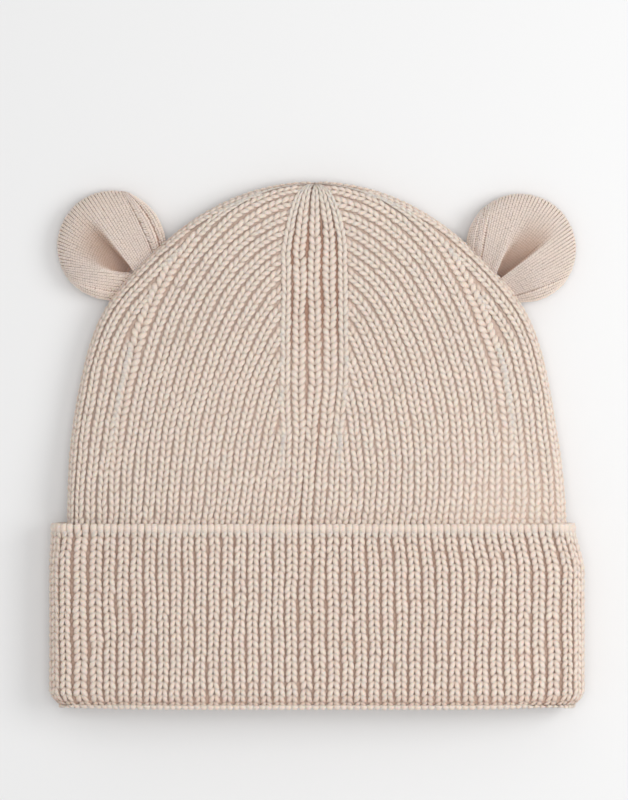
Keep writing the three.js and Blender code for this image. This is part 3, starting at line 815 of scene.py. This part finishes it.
def crown_cloth():
    """The crown's cloth under its stitches: a ground outside and a ribbed inner face."""
    columns = CLOTH_COLUMNS * CUFF_RIBS
    share = np.arange(columns) / columns
    angles = np.linspace(0, QUARTER, CLOTH_ANGLES)
    low = np.arange(FOLD_Y + INSIDE_ROWS * CUFF_COURSE, CUFF_TOP, CLOTH_STEP)
    heights = np.concatenate([low, outline.at(angles)[:, 1]])
    widths = np.concatenate([straight_edge(low), outline.at(angles)[:, 0]])
    valley = WALL - INSIDE_RIB * (0.5 - 0.5 * np.cos(share * 2 * math.pi * CUFF_RIBS))
    turn = share * 2 * math.pi
    across = np.abs(np.cos(turn)) ** SIDE_CROWDING
    face = np.where(np.sin(turn) >= 0, 1.0, -1.0)
    hand = np.where(np.cos(turn) < 0, -1.0, 1.0)
    rows = []
    for inset in (np.full(columns, CROWN_GROUND), valley):
        for y, width in zip(heights, widths):
            rows.append(seen_place(across * width, np.full(columns, y), inset, face, hand))
    points = np.concatenate(rows)
    # painted shade: darker in the valleys of the band, and beside its middle rib down to the cuff
    x, y = points[:, 0] - lean_at(points[:, 0], points[:, 1]), points[:, 1]
    band = np.where(np.abs(x) < band_half_width(y) - PITCH / 2, tip_share(y), 0)
    middle = np.where(np.abs(x) < PITCH * CLOTH_MIDDLE_REACH, CLOTH_MIDDLE_DARK, 0)
    dark = np.where(points[:, 2] > EDGE_HALF, np.maximum(band, middle), 0)
    quads = grid_quads(len(heights), columns, True)
    layer = len(heights) * columns
    edge = np.arange(columns)
    after = (edge + 1) % columns
    rim = np.stack([edge + layer, after + layer, after, edge], -1)
    quads = np.concatenate([quads, quads[:, ::-1] + layer, rim])
    return mesh_object("crown_cloth", points, quads, {"dark": dark})


def seen_place(x, y, inset, face, hand):
    """Points of the crown given as seen from above."""
    feet, inward, distance = nearest_edge(np.stack([x, y], -1))
    length = cloth_length(np.clip(distance, 0, None), CROWN_ROLL)
    return on_tube(feet, inward, length * face, CROWN_ROLL, inset, y, hand)


def cuff_cloth():
    """The cuff's cloth under its stitches, from its rim round the fold and up inside,
    closed by its other face."""
    columns = CLOTH_COLUMNS * CUFF_RIBS
    around = (np.arange(columns) / columns * 2 - 1) * CUFF_HALF_ROUND
    fold_end = CUFF_DROP + FOLD_ARC
    along = np.concatenate([np.arange(CUFF_CLOTH_START, CUFF_DROP, CLOTH_STEP),
                            np.linspace(CUFF_DROP, fold_end, FOLD_ROWS),
                            fold_end + np.arange(CLOTH_STEP, CUFF_INSIDE + 1, INSIDE_STEP)])
    rows = []
    for lengths, depth in ((along, CUFF_GROUND), (along[::-1], WALL)):
        for s in lengths:
            rows.append(cuff_cloth_place(np.stack([around, np.full(columns, s)], -1), depth))
    rows.append(rows[0])
    rows = np.array(rows)
    quads = grid_quads(len(rows), columns, True)[:, ::-1]
    # the last row is the first one again
    quads %= (len(rows) - 1) * columns
    return mesh_object("cuff_cloth", rows[:-1].reshape(-1, 3), quads)


class Ear:
    """Places on one ear by the column of stitches and the way along it, 0 at its base,
    1 at the rim and 2 at the base again, underneath."""

    def __init__(self, name, hand, lower, columns, pit, pit_depth, steep, creases):
        low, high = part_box(name)
        outer = low[0] / MM + EAR_RADIUS if hand < 0 else high[0] / MM - EAR_RADIUS
        self.centre = np.array([outer + hand * EAR_OUTWARD, high[1] / MM - EAR_RADIUS - lower])
        self.hand, self.columns, self.pit, self.pit_depth = hand, columns, pit, pit_depth
        self.steep, self.creases = steep, creases
        self.count = int(columns[-1, 0])

    def hollow(self, column, way):
        """How deep a place lies in the hollow, as a share, and how high on its ridges."""
        start, end = self.pit
        share = (column - start) / (end - start)
        steep = share if self.steep > 0 else 1 - share
        level = smooth((way - FLOOR_START) / FLOOR_LENGTH)
        slope = 1 - level * (FLOOR_SLOPE - FLOOR_SLOPE * np.clip(steep, 0, 1))
        inside = smooth(steep / (GENTLE_EDGE + GENTLE_WIDENING * level))
        inside = inside * smooth((1 - steep) / STEEP_EDGE)
        fade = (1 - smooth((way - PIT_FULL) / PIT_FADE)) * smooth(way / BASE_EDGE)
        past = (1 - steep) * (end - start) + STEEP_RIDGE
        before = steep * (end - start) + GENTLE_RIDGE
        ridge = np.exp(-(past / STEEP_RIDGE_WIDTH) ** 2)
        ridge = fade * (ridge + np.exp(-(before / GENTLE_RIDGE_WIDTH) ** 2))
        return slope * inside * fade, ridge

    def top(self, column, way):
        """Height of the cloth over the ear, before it rounds down to its rim."""
        lobe = EAR_BASE_TOP + (EAR_TOP - EAR_BASE_TOP) * smooth(way / LOBE_LENGTH)
        pit, ridge = self.hollow(column, way)
        crease = sum(np.exp(-((column - place) / CREASE_WIDTH) ** 2) for place in self.creases)
        crease = FOLD_CREASE * crease * (1 - way ** 4)
        return lobe - self.pit_depth * pit + PIT_RIDGE * ridge - crease

    def at(self, column, loop):
        """Points of the cloth."""
        knots = self.columns
        way = np.clip(1 - (loop - 1) ** 2, 0, 1)
        base = between(column, knots[:, 0], knots[:, 1:3])
        bearing = np.radians(np.interp(column, knots[:, 0], knots[:, 3]))
        bow = np.interp(column, knots[:, 0], knots[:, 4])
        rim = (EAR_RADIUS + EAR_FULLNESS) * np.stack([np.cos(bearing), np.sin(bearing)], -1)
        chord = rim - base
        out = unit(np.stack([-chord[..., 1], chord[..., 0]], -1))
        out *= np.sign(((base + rim) * out).sum(-1, keepdims=True))
        flat = base + chord * way[..., None] + out * (bow * 4 * way * (1 - way))[..., None]
        # past its base the cloth runs on under the crown's edge
        heading = (TUCK_HEADING, -TUCK_HEADING) - TUCK_HEADING * chord / np.linalg.norm(
            chord, axis=-1, keepdims=True)
        flat = flat - np.minimum(1 - (loop - 1) ** 2, 0)[..., None] * EAR_RADIUS * heading
        side = np.abs(2 * column / self.count - 1)
        plump = np.sqrt(np.clip((1 - way ** 4) * (1 - np.clip(side, 0, 1) ** 6), 0, 1))
        above = EAR_RIM + (self.top(column, way) - EAR_RIM) * plump
        below = EAR_RIM + (EAR_UNDERSIDE - EAR_RIM) * plump
        x = self.centre[0] - self.hand * flat[..., 0]
        return np.stack([x, self.centre[1] + flat[..., 1], np.where(loop < 1, above, below)], -1)

    def placed(self, column, loop, depth):
        """Points this deep under the cloth, less deep where the columns are narrow."""
        across = self.at(column + COLUMN_STEP, loop) - self.at(column - COLUMN_STEP, loop)
        along = self.at(column, loop + LOOP_STEP) - self.at(column, loop - LOOP_STEP)
        normal = np.cross(along, across) * self.hand
        normal /= np.maximum(np.linalg.norm(normal, axis=-1, keepdims=True), 1e-9)
        width = np.linalg.norm(across, axis=-1) / (2 * COLUMN_STEP)
        size = np.clip(width / 2 / JERSEY_HALF_WIDTH, *EAR_DEPTH_LIMITS)
        return self.at(column, loop) - normal * (depth * size)[..., None]

    def stitches(self, name, material):
        """The ear's stitches, column by column from its base over the rim and back."""
        shape, faces, uv = leg_shape(JERSEY_LEG, JERSEY_SIDES, JERSEY_HALF_WIDTH, EAR_COURSE)
        yarn = Yarn()
        loops = np.linspace(-EAR_TUCK, 2 + EAR_TUCK, COLUMN_POINTS)
        for k in range(self.count):
            path = self.at(np.full(len(loops), k + 0.5), loops)
            reach = lengths_along(path)
            middles = np.arange(EAR_COURSE / 2, reach[-1], EAR_COURSE)
            middles = middles + rng.normal(0, EAR_ROW_JITTER, len(middles)) * EAR_COURSE
            along = middles[:, None] + shape[None, :, 1] * EAR_COURSE
            loop = np.interp(along, reach, loops)
            column = k + 0.5 + shape[None, :, 0] / 2
            column = column + rng.normal(0, EAR_ACROSS_JITTER, (len(middles), 1))
            depth = shape[None, :, 2] + 0 * along
            points = self.placed(column, loop, depth)
            pit, _ = self.hollow(column, np.clip(1 - (loop - 1) ** 2, 0, 1))
            # painted shade: the yarn is coloured darker between two columns and in the hollow
            shade = (depth - shape[:, 2].min()) * GROOVE_SHADE + PIT_SHADE * pit * (loop < 1)
            yarn.add(points.reshape(-1, 3), faces, shade.ravel(), uv, len(shape))
        return yarn.piece(name, material)

    def body(self, name):
        """The closed pad under the stitches."""
        edge = 0.5 - 0.5 * np.cos(np.linspace(0, math.pi, 2 * self.count + 1))
        even = np.linspace(0, 1, 2 * self.count + 1)
        column = (edge * PAD_CROWDING + even * (1 - PAD_CROWDING)) * self.count
        loop = np.concatenate([np.linspace(-EAR_TUCK, 1, PAD_ROWS),
                               np.linspace(1, 2 + EAR_TUCK, PAD_UNDER_ROWS)[1:]])
        columns, loops = np.meshgrid(column, loop)
        points = self.placed(columns, loops, np.full_like(columns, EAR_GROUND))
        quads = grid_quads(len(loop), len(column))
        if self.hand > 0:
            quads = quads[:, ::-1]
        return mesh_object(name, points.reshape(-1, 3), quads)


def node_tree(name):
    """A new material with its nodes and its shader."""
    material = bpy.data.materials.new(name)
    material.use_nodes = True
    tree = material.node_tree
    return material, tree, tree.nodes["Principled BSDF"]


def add_node(tree, kind, settings=None, **inputs):
    """Adds a node. An input is named by its socket, or by i and its number."""
    node = tree.nodes.new(kind)
    for key, value in (settings or {}).items():
        setattr(node, key, value)
    for key, value in inputs.items():
        numbered = key[0] == "i" and key[1:].isdigit()
        socket = node.inputs[int(key[1:]) if numbered else key]
        if isinstance(value, bpy.types.NodeSocket):
            tree.links.new(value, socket)
        else:
            socket.default_value = value
    return node


def attribute(tree, name):
    return add_node(tree, "ShaderNodeAttribute", {"attribute_name": name}).outputs["Fac"]


def fuzz(tree, scale, detail):
    """Fine noise fixed to the object."""
    place = add_node(tree, "ShaderNodeTexCoord").outputs["Object"]
    return add_node(tree, "ShaderNodeTexNoise", Vector=place, Scale=scale, Detail=detail).outputs[0]


def connect(tree, shader, color, height, relief, distance):
    """Gives the shader its colour and its relief."""
    tree.links.new(color, shader.inputs["Base Color"])
    bump = add_node(tree, "ShaderNodeBump", Height=height, Strength=relief, Distance=distance)
    tree.links.new(bump.outputs[0], shader.inputs["Normal"])


def calculate(tree, kind, operation, *values):
    """Adds a node that calculates with some values and gives what comes out."""
    numbered = {"i" + str(number): value for number, value in enumerate(values)}
    return add_node(tree, kind, {"operation": operation}, **numbered).outputs[0]


def yarn_material(name, top, deep, darkest, relief):
    """Cotton yarn with painted shade: its own paler colour on the tops of the ribs, darkening by
    the depth value to a saturated brown deep between them.
    """
    material, tree, shader = node_tree(name)
    share = calculate(tree, MATH, "MULTIPLY", attribute(tree, "depth"), 1 / RAMP_DEPTH)
    ramp = add_node(tree, "ShaderNodeValToRGB", Fac=share)
    ramp.color_ramp.elements[0].position = RAMP_START
    ramp.color_ramp.elements[0].color = top
    ramp.color_ramp.elements[1].position = 1.0
    ramp.color_ramp.elements[1].color = darkest
    ramp.color_ramp.elements.new(RAMP_MIDDLE).color = deep
    gain = calculate(tree, MATH, "MULTIPLY_ADD", attribute(tree, "shade"), SHADE_GAIN, 1.0)
    mixed = add_node(tree, VECTOR_MATH, {"operation": "SCALE"},
                     i0=ramp.outputs["Color"], Scale=gain).outputs[0]
    uv = add_node(tree, "ShaderNodeUVMap", {"uv_map": "yarn"})
    split = add_node(tree, "ShaderNodeSeparateXYZ", i0=uv.outputs[0])
    ply = calculate(tree, MATH, "MULTIPLY_ADD", split.outputs[0], PLY_PITCH, split.outputs[1])
    ply = calculate(tree, MATH, "MULTIPLY", ply, 2 * PLIES * math.pi)
    wave = calculate(tree, MATH, "SINE", ply)
    height = calculate(tree, MATH, "MULTIPLY_ADD", wave, PLY_HEIGHT, fuzz(tree, YARN_FUZZ, 3.0))
    connect(tree, shader, mixed, height, relief, YARN_BUMP)
    shader.inputs["Roughness"].default_value = 0.9
    shader.inputs["Specular IOR Level"].default_value = 0.2
    shader.inputs["Sheen Weight"].default_value = 0.2
    shader.inputs["Sheen Roughness"].default_value = 0.6
    shader.inputs["Subsurface Weight"].default_value = 0.3
    shader.inputs["Subsurface Radius"].default_value = (1.0, 0.5, 0.3)
    shader.inputs["Subsurface Scale"].default_value = 0.0012
    return material


def ground_material(name, dark, light):
    """The knit's ground, deep between the ribs: coloured browner than the yarn as painted shade,
    with fibre noise, and darkened further by its dark value as painted shade in the valleys.
    """
    material, tree, shader = node_tree(name)
    fibre = fuzz(tree, GROUND_FUZZ, 4.0)
    ramp = add_node(tree, "ShaderNodeValToRGB", Fac=fibre)
    ramp.color_ramp.elements[0].position = GROUND_RAMP[0]
    ramp.color_ramp.elements[0].color = dark
    ramp.color_ramp.elements[1].position = GROUND_RAMP[1]
    ramp.color_ramp.elements[1].color = light
    gain = calculate(tree, VECTOR_MATH, "MULTIPLY_ADD", attribute(tree, "dark"),
                     VALLEY_SHADE_DARKENING, (1.0,) * 3)
    mixed = calculate(tree, VECTOR_MATH, "MULTIPLY", ramp.outputs["Color"], gain)
    connect(tree, shader, mixed, fibre, GROUND_RELIEF, GROUND_BUMP)
    shader.inputs["Roughness"].default_value = 0.95
    shader.inputs["Specular IOR Level"].default_value = 0.15
    return material


yarn = yarn_material("yarn", *YARN_AND_SHADE_COLOURS, YARN_RELIEF)
jersey = yarn_material("jersey", *JERSEY_AND_SHADE_COLOURS, JERSEY_RELIEF)
cuff_ground_painted_shade = ground_material("cuff_ground_painted_shade", *CUFF_GROUND_SHADE_COLOURS)
crown_ground_painted_shade = ground_material("crown_ground_painted_shade", *CROWN_GROUND_SHADE_COLOURS)
ear_ground_painted_shade = ground_material("ear_ground_painted_shade", *EAR_GROUND_SHADE_COLOURS)


def keep(piece, node):
    """Attaches a piece to the root body and hides the solid it stands for."""
    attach(piece, "root")
    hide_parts(node)
    return piece


front, back = crown_stitches()
keep(front.piece("crown_front_stitches", yarn), "crown")
keep(back.piece("crown_back_stitches", yarn), "crown")
front, back = cuff_stitches()
keep(front.piece("cuff_front_stitches", yarn), "cuff")
keep(back.piece("cuff_back_stitches", yarn), "cuff")
cloth = keep(crown_cloth(), "crown")
cloth.data.materials.append(crown_ground_painted_shade)
cloth = keep(cuff_cloth(), "cuff")
cloth.data.materials.append(cuff_ground_painted_shade)
for name, sizes in EARS.items():
    ear = Ear(name, **sizes)
    keep(ear.stitches(name + "_stitches", jersey), name)
    pad = keep(ear.body(name + "_pad"), name)
    pad.data.materials.append(ear_ground_painted_shade)


def area_light(name, place, size, power):
    """A round light that faces the middle of the frame."""
    light = bpy.data.lights.new(name, "AREA")
    light.shape = "DISK"
    light.size, light.energy = size, power
    lamp = link(name, light)
    lamp.location = place
    lamp.rotation_euler = (-Vector(place)).to_track_quat("-Z", "Y").to_euler()


def studio():
    """Pale floor, a soft key from the right, a broad light above and an even sky."""
    mesh = bpy.data.meshes.new("floor")
    half = FLOOR_HALF
    mesh.from_pydata([(-half, -half, 0), (half, -half, 0), (half, half, 0), (-half, half, 0)], [],
                     [(0, 1, 2, 3)])
    material, _, shader = node_tree("paper")
    shader.inputs["Base Color"].default_value = (0.80, 0.80, 0.80, 1.0)
    shader.inputs["Roughness"].default_value = 0.9
    shader.inputs["Specular IOR Level"].default_value = 0.1
    mesh.materials.append(material)
    link("floor", mesh)
    area_light("key", KEY_PLACE, KEY_SIZE, KEY_POWER)
    area_light("fill", FILL_PLACE, FILL_SIZE, FILL_POWER)
    world = bpy.data.worlds.new("sky")
    world.use_nodes = True
    sky = world.node_tree.nodes["Background"]
    sky.inputs["Color"].default_value = (1.0, 1.0, 1.0, 1.0)
    sky.inputs["Strength"].default_value = SKY_STRENGTH
    bpy.context.scene.world = world
    bpy.context.scene.view_settings.view_transform = "Standard"


def camera():
    """Straight down, with the frame of the photograph."""
    data = bpy.data.cameras.new("camera")
    data.lens = data.sensor_width * (EYE_PLACE[2] - SEEN_LEVEL) / SEEN_HEIGHT
    eye = link("camera", data)
    eye.location = EYE_PLACE
    bpy.context.scene.camera = eye


studio()
camera()
